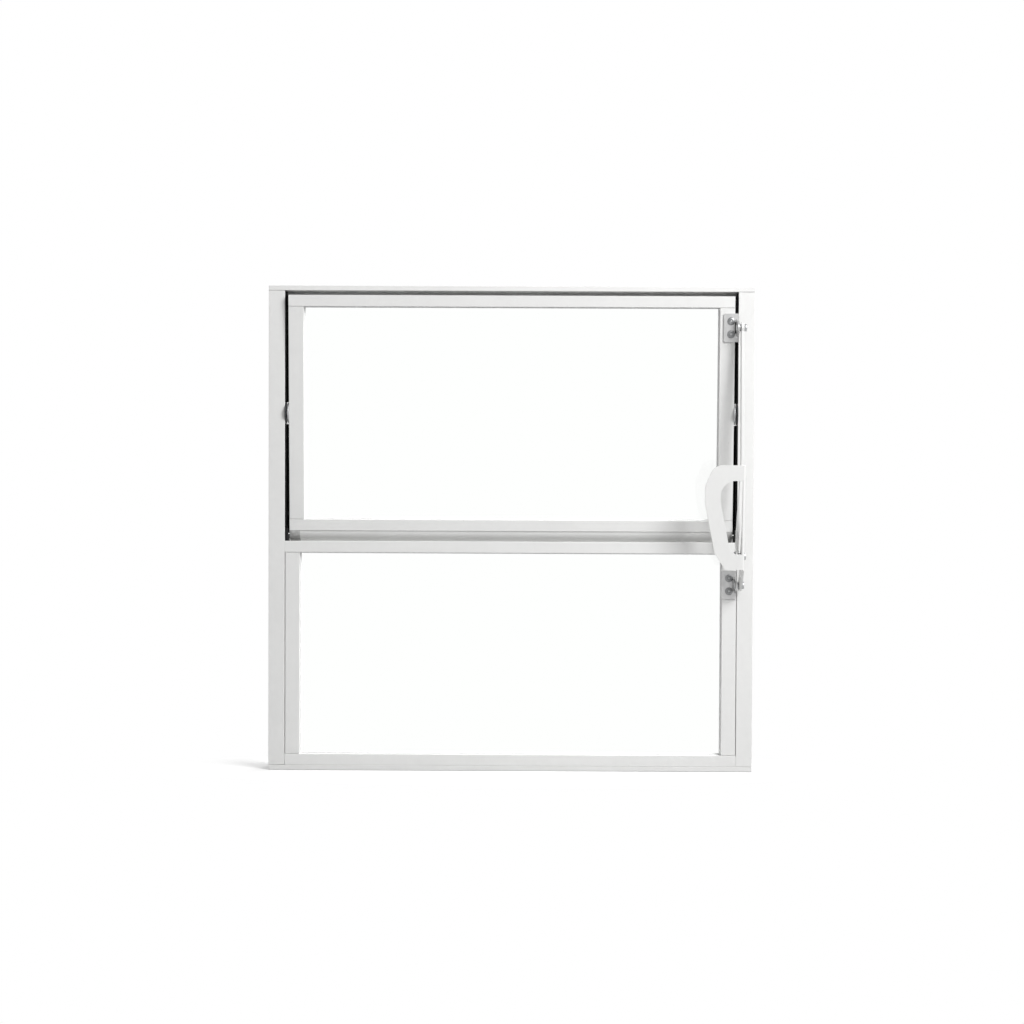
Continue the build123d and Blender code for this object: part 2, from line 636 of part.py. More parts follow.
# Lever: one bent sheet, a D-shaped grip facing the room and a side flange with the two pin holes
ARM_Y = -LINK_ARM * sin(radians(LINK_LEAN))
ARM_Z = LINK_ARM * cos(radians(LINK_LEAN))
with BuildPart() as lever:
    with BuildSketch(facing_room(LEVER_PLACE, LEVER_SHEET - GRIP_FRONT)) as grip:
        with BuildLine():
            Polyline(grip_outline(FLANGE_RIGHT, (CORNER_LOW, CORNER_HIGH)), close=True)
        make_face()
        for corner, radius in ROUNDING:
            fillet(grip.vertices().sort_by_distance((*corner, 0))[0], radius)
        with BuildSketch(mode=Mode.PRIVATE) as finger_hole:
            with BuildLine():
                Polyline(grip_outline(FLANGE_LEFT + GRIP_BAND, [(GRIP_LEFT, GRIP_TOP)]), close=True)
            make_face()
            offset(amount=-GRIP_BAND, kind=Kind.INTERSECTION, mode=Mode.REPLACE)
            fillet(finger_hole.vertices().sort_by(Axis.X)[:-2].sort_by(Axis.Y)[:-1], GRIP_HOLE_CORNER)
            hole_corner = (GRIP_LEFT + GRIP_BAND, GRIP_TOP - GRIP_BAND, 0)
            fillet(finger_hole.vertices().sort_by_distance(hole_corner)[0], GRIP_HOLE_TOP)
        add(finger_hole.sketch, mode=Mode.SUBTRACT)
    extrude(amount=LEVER_SHEET)
    with BuildSketch(along_x(LEVER_PLACE, FLANGE_LEFT)):
        Circle(LEVER_TAIL)
        with Locations((ARM_Y, ARM_Z)):
            Circle(LINK_EYE)
        with Locations((-GRIP_FRONT, GRIP_BOTTOM)):
            Rectangle(LEVER_SHEET, LINK_EYE, align=(Align.MIN, Align.MIN))
        make_hull()
        with BuildLine():
            Polyline(
                (-GRIP_FRONT, GRIP_BOTTOM),
                (-GRIP_FRONT, GRIP_TOP),
                (FLANGE_TOP - GRIP_FRONT, GRIP_TOP),
                (FLANGE_WAIST - GRIP_FRONT, FLANGE_WAIST_Z),
                (ARM_Y + LINK_EYE, ARM_Z),
                close=True,
            )
        make_face()
        Circle(PIN / 2 + RUNNING, mode=Mode.SUBTRACT)
        with Locations((ARM_Y, ARM_Z)):
            Circle(PIN / 2, mode=Mode.SUBTRACT)
    extrude(amount=LEVER_SHEET)
    fold = LEVER_PLACE * Pos(FLANGE_RIGHT, -GRIP_FRONT, (GRIP_BOTTOM + GRIP_TOP) / 2)
    fillet(lever.edges().sort_by_distance(fold.position)[0], GRIP_FOLD)
save(lever, "lever")

# Pins: each a shank with a collar, a peened end and a head
ROD_OUT = ROD_HIGH_X + ROD_THICK / 2 + SIDE_PLAY
ROD_IN = ROD_LOW_X - ROD_THICK / 2 - SIDE_PLAY
LINK_WASHER = PIN + 2 * LINK_PLAY + 2 * LINK_EYE_WALL / 2
PINS = (
    ("rod_pin", SASH_PLACE, PIN_Y, SASH_BRACKET_Z, EAR_LEFT, PIN_COLLAR,
     EAR_RIGHT, ROD_HIGH_X - ROD_THICK / 2 - SIDE_PLAY, ROD_OUT),
    ("lever_pin", FIXED, PIN_Y, LEVER_BRACKET_Z, EAR_LEFT, PIN_COLLAR,
     EAR_RIGHT, FLANGE_LEFT - SIDE_PLAY, FLANGE_RIGHT + SIDE_PLAY),
    ("link_pin", LEVER_PLACE, ARM_Y, ARM_Z, ROD_IN, LINK_WASHER,
     ROD_LOW_X + ROD_THICK / 2 + SIDE_PLAY, FLANGE_LEFT, FLANGE_RIGHT),
)
for name, place, y, z, left, peen, collar_left, collar_right, right in PINS:
    steps = (
        (left - PIN_PEEN, left, peen),
        (left, right, PIN),
        (collar_left, collar_right, PIN_COLLAR),
        (right, right + PIN_HEAD_THICK, PIN_HEAD),
    )
    with BuildPart() as pin:
        for x_low, x_high, diameter in steps:
            with BuildSketch(along_x(place, x_low)):
                with Locations((y, z)):
                    Circle(diameter / 2)
            extrude(amount=x_high - x_low)
    save(pin, name)
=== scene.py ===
# %% [markdown]
# # A pivot window, dressed for its picture
# The window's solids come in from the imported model, in metres, each at its own place. This lesson
# rounds their edges, gives every piece a finish that says what it is made of, and adds the small
# things that solids leave out: rivets, turned pins, and the fibres and strips of the seals.

# %% Load the window
import json
import bpy
import numpy as np
from mathutils import Matrix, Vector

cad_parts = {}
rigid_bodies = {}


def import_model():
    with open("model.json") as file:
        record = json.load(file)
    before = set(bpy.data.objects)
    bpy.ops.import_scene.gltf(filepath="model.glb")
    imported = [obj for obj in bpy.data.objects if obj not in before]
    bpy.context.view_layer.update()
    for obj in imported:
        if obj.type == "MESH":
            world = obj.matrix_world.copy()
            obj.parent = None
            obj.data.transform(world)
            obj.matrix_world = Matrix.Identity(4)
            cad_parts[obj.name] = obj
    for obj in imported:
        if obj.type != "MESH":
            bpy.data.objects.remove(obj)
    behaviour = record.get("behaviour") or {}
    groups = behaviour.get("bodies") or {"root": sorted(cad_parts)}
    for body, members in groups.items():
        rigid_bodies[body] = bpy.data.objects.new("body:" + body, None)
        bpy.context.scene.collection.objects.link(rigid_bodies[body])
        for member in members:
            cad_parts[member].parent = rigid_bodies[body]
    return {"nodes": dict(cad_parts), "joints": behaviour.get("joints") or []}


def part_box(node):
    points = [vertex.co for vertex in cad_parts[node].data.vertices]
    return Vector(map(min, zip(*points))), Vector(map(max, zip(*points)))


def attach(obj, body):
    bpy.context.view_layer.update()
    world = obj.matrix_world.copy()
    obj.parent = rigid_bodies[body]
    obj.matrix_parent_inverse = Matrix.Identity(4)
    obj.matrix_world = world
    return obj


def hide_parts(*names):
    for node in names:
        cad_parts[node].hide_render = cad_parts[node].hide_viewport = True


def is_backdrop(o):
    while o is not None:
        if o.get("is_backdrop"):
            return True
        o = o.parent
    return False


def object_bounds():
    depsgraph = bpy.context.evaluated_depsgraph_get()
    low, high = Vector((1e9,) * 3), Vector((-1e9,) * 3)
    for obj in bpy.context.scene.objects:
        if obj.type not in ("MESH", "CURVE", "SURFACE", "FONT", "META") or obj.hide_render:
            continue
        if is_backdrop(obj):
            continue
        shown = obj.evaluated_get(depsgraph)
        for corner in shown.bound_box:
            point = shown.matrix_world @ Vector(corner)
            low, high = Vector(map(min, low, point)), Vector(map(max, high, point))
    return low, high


for stray in list(bpy.data.objects):
    bpy.data.objects.remove(stray)
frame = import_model()
cad_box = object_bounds()
solids = frame["nodes"]
joints = {joint["name"]: joint for joint in frame["joints"]}

# %% [markdown]
# ## Small tools for finishes
# Colours are written as they look on a screen, in sRGB hex, but Blender mixes light in linear
# values, so one function turns the first into the second. A finish is a small graph of nodes, and
# one more function adds any node with its settings and links, which keeps each graph readable.

# %% Colour and node helpers
MM = 1000.0  # millimetres in a metre, the unit in which Blender holds the window


def linear(code):
    """sRGB hex to linear RGBA: a channel c is c / 12.92 near black, else ((c + 0.055) / 1.055) ^ 2.4."""
    c = np.array([int(code[i:i + 2], 16) for i in (1, 3, 5)]) / 255
    low, high = c / 12.92, ((c + 0.055) / 1.055) ** 2.4
    return (*np.where(c <= 0.04045, low, high).tolist(), 1.0)


def node(tree, kind, inputs=(), **settings):
    """Adds one node. Settings are its own options; inputs are constants, or sockets to link from."""
    made = tree.nodes.new("ShaderNode" + kind)
    for name, value in settings.items():
        setattr(made, name, value)
    for name, value in dict(inputs).items():
        if isinstance(value, bpy.types.NodeSocket):
            tree.links.new(value, made.inputs[name])
        else:
            made.inputs[name].default_value = value
    return made


def per_mm(size):
    """Scale of a texture whose features are about this many millimetres across, in metres' space."""
    return MM / size


def begin(name):
    """An empty finish: its node tree, its output and the piece's own Object coordinates."""
    finish = bpy.data.materials.new(name.replace("_", " "))
    finish.use_nodes = True
    tree = finish.node_tree
    tree.nodes.clear()
    return finish, tree, node(tree, "OutputMaterial"), node(tree, "TexCoord").outputs["Object"]


finishes = {}
print("half of white's light is #bcbcbc:", np.round(linear("#bcbcbc")[:3], 3))

# %% [markdown]
# ## White powder coat on aluminium
# The frame and sash are extruded bars, sprayed with white polyester powder and baked. The powder
# melts into a smooth satin skin that is never quite flat: it has the faint dimples that painters
# call orange peel. Handling leaves it a little uneven, and small specks of dust stay on it.
# A picture could be wrapped round each bar, but noise in Object coordinates needs no unwrapping and
# is the same size on every bar.

# %% White coat
def white_coat(name, light, dark, rough, dimple):
    """Satin white polymer: two near-white tones, specks of dust, and a bump as strong as dimple."""
    finish, tree, out, at = begin(name)
    # Clouding about 70 mm across and a finer stain of 9 mm, both faint.
    cloud = node(tree, "TexNoise", {"Vector": at, "Scale": per_mm(70), "Detail": 3.0})
    stain = node(tree, "TexNoise", {"Vector": at, "Scale": per_mm(9), "Detail": 4.0, "Roughness": 0.6})
    both = node(tree, "Math", {0: cloud.outputs["Fac"], 1: stain.outputs["Fac"]}, operation="ADD")
    tone = node(tree, "MapRange", {"Value": both.outputs[0], "From Min": 0.75, "From Max": 1.25})
    skin = node(tree, "Mix", {0: tone.outputs[0], 6: linear(dark), 7: linear(light)}, data_type="RGBA")
    # A speck of dust about every 22 mm: the small hearts of large cells.
    cells = node(tree, "TexVoronoi", {"Vector": at, "Scale": per_mm(22)})
    speck = node(tree, "MapRange", {"Value": cells.outputs["Distance"], "From Min": 0.02,
                                    "From Max": 0.045, "To Min": 0.25, "To Max": 0.0})
    dusty = node(tree, "Mix", {0: speck.outputs[0], 6: skin.outputs[2], 7: linear("#a9a8a4")},
                 data_type="RGBA")
    gloss = node(tree, "MapRange", {"Value": stain.outputs["Fac"], "From Min": 0.3, "From Max": 0.7,
                                    "To Min": rough - 0.01, "To Max": rough + 0.02})
    # Real orange peel is about 1 mm across. It is drawn at 1.6 mm so that a close view shows it.
    peel = node(tree, "TexNoise", {"Vector": at, "Scale": per_mm(1.6), "Detail": 2.0})
    bump = node(tree, "Bump", {"Strength": dimple, "Distance": 0.08 / MM, "Height": peel.outputs["Fac"]})
    coat = node(tree, "BsdfPrincipled", {"Base Color": dusty.outputs[2], "Roughness": gloss.outputs[0],
                                         "IOR": 1.5, "Normal": bump.outputs[0]})
    tree.links.new(coat.outputs[0], out.inputs[0])
    finishes[name] = finish


# Polyester powder is matt enough to blur reflections to a soft band.
white_coat("white_coated_aluminium", light="#e1e1e0", dark="#dededd", rough=0.36, dimple=0.04)
# The lever and rod are bent steel under a thicker coat, which flows out smoother and shines more.
white_coat("white_coated_steel", light="#e1e1e0", dark="#e0e0df", rough=0.32, dimple=0.012)
print("finishes:", sorted(finishes))

# %% [markdown]
# ## Bare metals
# The two brackets are satin anodised aluminium: pressed sheet with the fine straight marks of the
# rolling mill under a dull oxide. The pins are zinc-plated steel, greyer, with the cloudy patches
# that plating leaves, and the rivets are plain steel. All are metals, so the colour tints the
# reflection itself. The marks are noise, which is stretched along one axis on the rolled sheet.

# %% Metal finishes
def bare_metal(name, light, dark, rough, grain, depth):
    """Metal with two tones of oxide, and noise stretched by grain (x, y, z in mm) as its surface marks."""
    finish, tree, out, at = begin(name)
    patch = node(tree, "TexNoise", {"Vector": at, "Scale": per_mm(6), "Detail": 3.0})
    fine = node(tree, "Mapping", {"Vector": at, "Scale": tuple(per_mm(g) for g in grain)})
    marks = node(tree, "TexNoise", {"Vector": fine.outputs[0], "Scale": 1.0, "Detail": 3.0})
    tone = node(tree, "MapRange", {"Value": patch.outputs["Fac"], "From Min": 0.35, "From Max": 0.65})
    colour = node(tree, "Mix", {0: tone.outputs[0], 6: linear(dark), 7: linear(light)}, data_type="RGBA")
    gloss = node(tree, "MapRange", {"Value": marks.outputs["Fac"], "From Min": 0.3, "From Max": 0.7,
                                    "To Min": rough - 0.06, "To Max": rough + 0.08})
    bump = node(tree, "Bump", {"Strength": 0.25, "Distance": depth / MM, "Height": marks.outputs["Fac"]})
    metal = node(tree, "BsdfPrincipled", {"Base Color": colour.outputs[2], "Metallic": 1.0,
                                          "Roughness": gloss.outputs[0], "Normal": bump.outputs[0]})
    tree.links.new(metal.outputs[0], out.inputs[0])
    finishes[name] = finish


# Anodised sheet: pale, even, its reflections drawn out along the rolling marks.
bare_metal("bracket_aluminium", light="#bfbfbf", dark="#b3b3b3", rough=0.42, grain=(0.5, 0.5, 9.0),
           depth=0.03)
# Zinc plate: pale grey with clouds, which blur what it reflects.
bare_metal("plated_steel", light="#b9babb", dark="#a7a8a9", rough=0.42, grain=(0.7, 0.7, 0.7), depth=0.02)
# Plain steel rivets have dulled to a darker grey.
bare_metal("rivet_steel", light="#8e8f90", dark="#7c7d7e", rough=0.4, grain=(0.7, 0.7, 0.7), depth=0.02)
print("finishes:", sorted(finishes))

# %% [markdown]
# ## Rubbers, nylon and brush
# The gasket is pale grey EPDM, extruded soft and dull. The blocks at the gutter's ends are near-black
# rubber, which paints the shade at the foot of the gap, the pads that meet them grey foam, the bushes
# grey nylon with the faint grain of their mould, and the brush is black polypropylene. They differ in
# tone, in dullness and in the size of their grain, so one function makes them all.

# %% Polymer finishes
def dull_polymer(name, light, dark, rough, grain):
    """A dull polymer: two tones in clouds of six grains, and a bump as fine as the grain (mm)."""
    finish, tree, out, at = begin(name)
    cloud = node(tree, "TexNoise", {"Vector": at, "Scale": per_mm(6 * grain), "Detail": 3.0})
    fine = node(tree, "TexNoise", {"Vector": at, "Scale": per_mm(grain), "Detail": 2.0})
    tone = node(tree, "MapRange", {"Value": cloud.outputs["Fac"], "From Min": 0.3, "From Max": 0.7})
    colour = node(tree, "Mix", {0: tone.outputs[0], 6: linear(dark), 7: linear(light)}, data_type="RGBA")
    gloss = node(tree, "MapRange", {"Value": fine.outputs["Fac"], "From Min": 0.3, "From Max": 0.7,
                                    "To Min": rough - 0.06, "To Max": rough + 0.06})
    bump = node(tree, "Bump", {"Strength": 0.3, "Distance": 0.04 / MM, "Height": fine.outputs["Fac"]})
    body = node(tree, "BsdfPrincipled", {"Base Color": colour.outputs[2], "Roughness": gloss.outputs[0],
                                         "IOR": 1.5, "Specular IOR Level": 0.25,
                                         "Normal": bump.outputs[0]})
    tree.links.new(body.outputs[0], out.inputs[0])
    finishes[name] = finish


# Soft extruded rubber scatters light evenly, with no sharp reflection at all.
dull_polymer("grey_glazing_gasket", light="#eaeaea", dark="#e2e2e2", rough=0.68, grain=0.5)
# Near-black rubber paints the shade of the gaps beside and below the sash: blocks and jamb strips, dark but
# for their edges.
dull_polymer("dark_rubber", light="#161617", dark="#0e0e0f", rough=0.8, grain=0.6)
# Foam is rubber full of tiny bubbles: a coarse, mottled grey that gathers dirt.
dull_polymer("grey_foam_rubber", light="#c6c6c5", dark="#9c9c9b", rough=0.85, grain=0.9)
# Moulded nylon is harder and catches a blurred light.
dull_polymer("grey_nylon", light="#3c3d3f", dark="#323335", rough=0.45, grain=0.8)
# Crimped fibres trap the light, so the brush reads as nearly black.
dull_polymer("black_pile", light="#0a0a0b", dark="#050506", rough=0.9, grain=0.4)
print("finishes:", sorted(finishes))

# %% [markdown]
# ## Clear float glass
# Float glass is flat and clear, with a trace of green from iron. Light that falls through it lands on
# the far side, which a path tracer finds only by luck, so lamps are let straight through the pane:
# a Transparent shader stands in for shadow rays only. Wiping leaves it almost, but not quite, even.

# %% Glass finish
def float_glass(name):
    """Smooth clear glass of IOR 1.52, faintly uneven where it was wiped, that lets lamplight through."""
    finish, tree, out, at = begin(name)
    # Strokes of a cloth: 160 mm long, 40 mm high and slanted.
    wiped = node(tree, "Mapping", {"Vector": at, "Rotation": (0.0, 0.5, 0.0),
                                   "Scale": (per_mm(160), per_mm(160), per_mm(40))})
    smear = node(tree, "TexNoise", {"Vector": wiped.outputs[0], "Scale": 1.0, "Detail": 4.0})
    film = node(tree, "MapRange", {"Value": smear.outputs["Fac"], "From Min": 0.45, "From Max": 0.75,
                                   "To Min": 0.0, "To Max": 0.02})
    clear = node(tree, "BsdfPrincipled", {"Base Color": linear("#fefffe"), "Roughness": film.outputs[0],
                                          "IOR": 1.52, "Transmission Weight": 1.0})
    through = node(tree, "BsdfTransparent", {"Color": linear("#fafcfb")})
    ray = node(tree, "LightPath").outputs
    both = node(tree, "MixShader", {0: ray["Is Shadow Ray"], 1: clear.outputs[0], 2: through.outputs[0]})
    tree.links.new(both.outputs[0], out.inputs[0])
    finishes[name] = finish


# Glass bends and mirrors light and has no colour of its own, so the pane shows at its edges only.
float_glass("clear_float_glass")
print("finishes:", len(finishes))

# %% [markdown]
# ## Finishing the solids
# A solid from the drawing has knife-sharp edges, and nothing real has. A small bevel catches the line
# of light that shows where one bar ends and the next begins. The solids arrive as loose triangles, so
# each gets Weld to join them, Decimate to make its flat faces whole again, Bevel, and Weighted Normal
# to keep the flats flat. Modifiers leave the solids themselves untouched.

# %% Round the edges and hand out the finishes
def round_edges(solid, width):
    """Weld, merge coplanar faces, bevel edges sharper than 28 degrees by width mm, even the shading."""
    solid.modifiers.new("weld", "WELD").merge_threshold = 1e-6
    flat = solid.modifiers.new("flats", "DECIMATE")
    flat.decimate_type, flat.angle_limit = "DISSOLVE", np.radians(0.5)
    bevel = solid.modifiers.new("edge", "BEVEL")
    bevel.width, bevel.segments = width / MM, 2
    bevel.limit_method, bevel.angle_limit = "ANGLE", np.radians(28)
    solid.modifiers.new("even", "WEIGHTED_NORMAL").keep_sharp = False


# Edge rounding in mm: cut bars, pressed sheet, turned steel, moulded nylon, rubber.
edges = {"white_coated_aluminium": 0.3, "white_coated_steel": 0.7, "bracket_aluminium": 0.4,
         "plated_steel": 0.4, "grey_nylon": 0.4, "grey_glazing_gasket": 0.4, "dark_rubber": 0.5}
# The lower rail is rounder, because the picture shows a clear line where it meets the sill and jambs.
rounder = {"lower_bottom_rail": 0.8}
for name, solid in solids.items():
    slot = solid.data.materials[0].name
    solid.material_slots[0].material = finishes[slot]
    if slot in edges:
        round_edges(solid, rounder.get(name, edges[slot]))
print("rounded:", sum(bool(s.modifiers) for s in solids.values()), "of", len(solids))

# %% [markdown]
# ## New surfaces from arrays
# Every new piece is a grid of points worked out at once with numpy: rings of points, one after the
# other, joined to their neighbours by quads. One function turns such rings into a closed mesh, and
# another carries points along with the tilted sash, because the window stands a little open. The
# hinge is shut at its lower limit, so that limit also says how far the sash leans.

# %% Mesh helpers
hinge = joints["sash_pivot"]
PIVOT = np.array(hinge["pos_m"]) * MM
TILT = np.radians(-hinge["range_deg"][0])


def box_mm(name):
    """The low and the high corner of a solid's box, in mm."""
    return [np.array(corner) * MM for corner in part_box(name)]


def with_sash(points):
    """Points (mm) of the shut sash, turned by the tilt about the pivot: y' = yc - zs, z' = ys + zc."""
    turn = np.array([[1, 0, 0], [0, np.cos(TILT), -np.sin(TILT)], [0, np.sin(TILT), np.cos(TILT)]])
    return (points - PIVOT) @ turn.T + PIVOT


def rings_to_mesh(name, rings, finish, body, smooth=True):
    """rings (pieces, rings, sides, 3) in mm: quads between neighbouring rings, a face on each end ring."""
    pieces, levels, sides, _ = rings.shape
    index = np.arange(pieces * levels * sides).reshape(pieces, levels, sides)
    next_side = np.roll(index, -1, axis=2)
    quads = np.stack([index[:, :-1], next_side[:, :-1], next_side[:, 1:], index[:, 1:]], axis=-1)
    first, last = index[:, 0, ::-1], index[:, -1]
    faces = [*quads.reshape(-1, 4).tolist(), *first.tolist(), *last.tolist()]
    mesh = bpy.data.meshes.new(name)
    mesh.from_pydata((rings.reshape(-1, 3) / MM).tolist(), [], faces)
    mesh.polygons.foreach_set("use_smooth", np.full(len(faces), smooth))
    mesh.materials.append(finishes[finish])
    piece = bpy.data.objects.new(name, mesh)
    bpy.context.scene.collection.objects.link(piece)
    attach(piece, body)
    return piece


print("the sash leans", round(float(np.degrees(TILT)), 1), "degrees about", np.round(PIVOT, 2), "mm")

# %% [markdown]
# ## Turned shapes
# Rivets and pins are round, as if turned on a lathe. Such a shape is a profile, rows of a radius and
# a height, carried round an axis. A cylinder primitive would need cutting and joining for each step,
# while a profile gives all the steps and the dome at once.

# %% Turned shapes
AXIS = 0.02  # mm, radius of the tiny face that closes a turned shape on its axis


def turned_shape(profile, centre, axis, sides=40):
    """Profile rows (radius, height): centre + height * axis + radius * a circle across the axis."""
    axis = np.array(axis, float)
    across = np.cross(axis, (1.0, 0, 0)) if abs(axis[0]) < 0.9 else np.array([0, 1.0, 0])
    along = np.cross(axis, across)
    angle = np.linspace(0, 2 * np.pi, sides, endpoint=False)
    circle = np.cos(angle)[:, None] * across + np.sin(angle)[:, None] * along
    radius, height = np.array(profile).T
    return centre + height[:, None, None] * axis + radius[:, None, None] * circle


def dome(radius, rise, inner, start, steps=9):
    """Profile of a low dome: from its rim in to the inner radius, height = start + rise * sqrt(1 - r^2)."""
    r = np.linspace(1.0, inner / radius, steps)
    return np.stack([radius * r, start + rise * np.sqrt(np.maximum(1 - r**2, 0))], axis=1)


print("a dome of 5 mm is", round(float(dome(5.0, 1.5, 0.0, 0.0)[-1, 1]), 2), "mm high")

# %% [markdown]
# ## Rivets on the brackets
# Each bracket is held by two blind rivets. Such a rivet has a low domed head with the broken end of
# its pulling pin sunk in the middle, and in the picture it is a grey ring with a paler heart. The two
# brackets are the same pressing, and the lower one stands upright, so its box gives the rivets' places.

# %% Rivets
# In mm: the head's and the shank's radius, how deep the shank goes, and the pin with its well.
HEAD, SHANK, GRIP, PIN, WELL = 4.8, 2.0, 2.4, 1.6, 0.9
PLATE, APART = 2.0, 16.0  # mm, the bracket's sheet and the distance between its rivets
SASH_BRACKET = 550.0  # mm, the height of the upper bracket's middle when the sash is shut

head = dome(HEAD, rise=1.5, inner=2.1, start=0.35)
rim = float(head[-1, 1])
rivet = np.concatenate([[[SHANK, -GRIP], [SHANK, 0.0], [HEAD - 0.1, 0.0], [HEAD, 0.1]], head,
                        [[SHANK - 0.05, rim - 0.15], [SHANK - 0.1, rim - WELL], [AXIS, rim - WELL]]])
stub = np.array([[AXIS, -1.2], [PIN, -1.2], [PIN, -0.85], [PIN - 0.15, -0.7], [1.0, -0.6], [AXIS, -0.55]])
stub[:, 1] += rim
low, high = box_mm("lever_bracket")
middle, front = (low + high) / 2, high[1] - PLATE
for name, body, level in (("sash_rivet", "sash", SASH_BRACKET), ("lever_rivet", "frame", middle[2])):
    for part, profile, finish in (("heads", rivet, "rivet_steel"), ("pins", stub, "plated_steel")):
        pair = np.stack([turned_shape(profile, np.array([middle[0], front, level + up]), (0, -1, 0))
                         for up in (-APART / 2, APART / 2)])
        pair = with_sash(pair) if body == "sash" else pair
        made = rings_to_mesh(f"{name}_{part}", pair, finish, body)
        print(made.name, len(made.data.polygons), "faces")

# %% [markdown]
# ## Pins of the linkage
# The lever and the rod turn on steel pins, each with a rounded head outside, a collar that keeps the
# pieces apart, and an end peened over like a small mushroom. The solids of the pins are plain
# cylinders, so turned shapes with the same steps stand for them, with their corners eased.

# %% Pins
# In mm, the same on all three: radii of shank, collar and head, and how thick the two ends are.
SHANK_RADIUS, COLLAR_RADIUS, HEAD_RADIUS = 2.5, 4.25, 4.5
PEEN_THICK, HEAD_THICK = 1.5, 3.0


def stepped(steps, ease=0.35):
    """Steps (from, to, radius) in mm along X: each corner of the steps cut back by ease."""
    rows = [[AXIS, steps[0][0]]]
    for low, high, radius in steps:
        rows += [[radius - ease, low], [radius, low + ease], [radius, high - ease], [radius - ease, high]]
    return np.array([*rows, [AXIS, steps[-1][1]]])


# The body each pin rides on, the radius of its peened end, and where its collar starts and ends in X.
pins = {"rod_pin": ("sash", 4.25, 279.0, 280.7), "lever_pin": ("frame", 4.25, 279.0, 280.7),
        "link_pin": ("lever", 5.7, 278.3, 281.0)}
for name, (body, peen_radius, collar_from, collar_to) in pins.items():
    low, high = box_mm(name)
    peen_to, head_from = low[0] + PEEN_THICK, high[0] - HEAD_THICK
    profile = stepped([(low[0], peen_to, peen_radius), (peen_to, collar_from, SHANK_RADIUS),
                       (collar_from, collar_to, COLLAR_RADIUS), (collar_to, head_from, SHANK_RADIUS),
                       (head_from, high[0], HEAD_RADIUS)])
    centre = (low + high) / 2 * np.array([0, 1, 1])
    made = rings_to_mesh(name + "_turned", turned_shape(profile, centre, (1, 0, 0))[None],
                         "plated_steel", body)
    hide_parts(name)
    print(made.name, len(made.data.polygons), "faces")

# %% [markdown]
# ## Fibres of a brush seal
# A brush seal is a strip of woven pile, a dense black brush on a flat backing. A solid bar looks like
# rubber, so fibres stand for it: thin pointed three-sided rods in rows, each with its own length and
# lean, all of them worked out in one go. Real fibres are 0.1 mm thick. These are about three times
# that, drawn so coarse so that they show.

# %% Fibres and strips
chance = np.random.default_rng(7)


def fibres(start, end, outward, across, length, mouth, spacing=0.55, rows=6, thick=0.32):
    """Rows of rods from the line start-end: ring k sits at root + outward * length * k + lean * k^2."""
    start, end, outward, across = (np.array(v, float) for v in (start, end, outward, across))
    count = int(np.linalg.norm(end - start) / spacing)
    along = (end - start) / np.linalg.norm(end - start)
    t = (np.arange(count * rows) // rows + chance.uniform(0.1, 0.9, count * rows)) * spacing
    row = (np.arange(count * rows) % rows + chance.uniform(0.2, 0.8, count * rows)) / rows - 0.5
    root = start + t[:, None] * along + (row * mouth)[:, None] * across
    reach = length * chance.uniform(0.93, 1.0, count * rows)
    lean = chance.normal(0, 0.16, (count * rows, 2))
    k = np.array([0.0, 0.55, 1.0])
    flare = (lean[:, 1] + row * mouth * 1.1)[:, None, None]
    spine = (root[:, None] + (reach[:, None] * k)[..., None] * outward
             + (lean[:, None, :1] * k[:, None] ** 2) * along + (flare * k[:, None] ** 2) * across)
    turn = 2 * np.pi * np.arange(3) / 3
    circle = np.cos(turn)[:, None] * along + np.sin(turn)[:, None] * across
    size = thick * np.array([0.5, 0.5, 0.3])
    return spine[:, :, None] + size[:, None, None] * circle


def strip(start, end, outward, across, wide, thick):
    """A flat bar from start to end: its four corners once at each end, its outer face on that line."""
    start, end, outward, across = (np.array(v, float) for v in (start, end, outward, across))
    corner = np.array([[-0.5, 0], [0.5, 0], [0.5, -1], [-0.5, -1]])
    section = corner[:, :1] * wide * across + corner[:, 1:] * thick * outward
    return np.stack([start + section, end + section])[None]


def merge(name, parts, body, replaced):
    """Joins array pieces of different ring counts into one object that stands for a solid."""
    # A strip is one piece and keeps flat faces. Fibres come by the hundred and are shaded smooth.
    made = [rings_to_mesh(f"{name}_{i}", p, "black_pile", body, smooth=len(p) > 1)
            for i, p in enumerate(parts)]
    with bpy.context.temp_override(active_object=made[0], selected_editable_objects=made):
        bpy.ops.object.join()
    made[0].name = made[0].data.name = name
    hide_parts(replaced)
    print(name, len(made[0].data.polygons), "faces")


print("fibres are drawn from a seeded chance, so every run gives the same brush")

# %% [markdown]
# ## Brush seals
# The sash's edges and the head's stop carry such strips, which fill the gap and keep out the draught.
# Between the rows of the sash's strips stands a thin film, the fin that makes such a seal tight. The
# solids of the strips give the depth of their backing and how far the tips reach.

# %% Brushes
BACK_WIDE, BACK_THICK = 5.4, 1.0  # mm, the woven backing
FIN_THICK, FIN_DEEP = 0.25, 5.6  # mm, the film between the fibres
MOUTH, REACH = 2.6, 5.8  # mm, how wide the fibres stand and how long the sash's are
SASH_MIDDLE = -9.0  # mm, the strip's place in the sash's depth
# Two lengths on each side (mm): clear of the gutter's block below, the bush, and the head above.
runs = ((293.2, PIVOT[2] - 14.0), (PIVOT[2] + 13.25, 588.5))

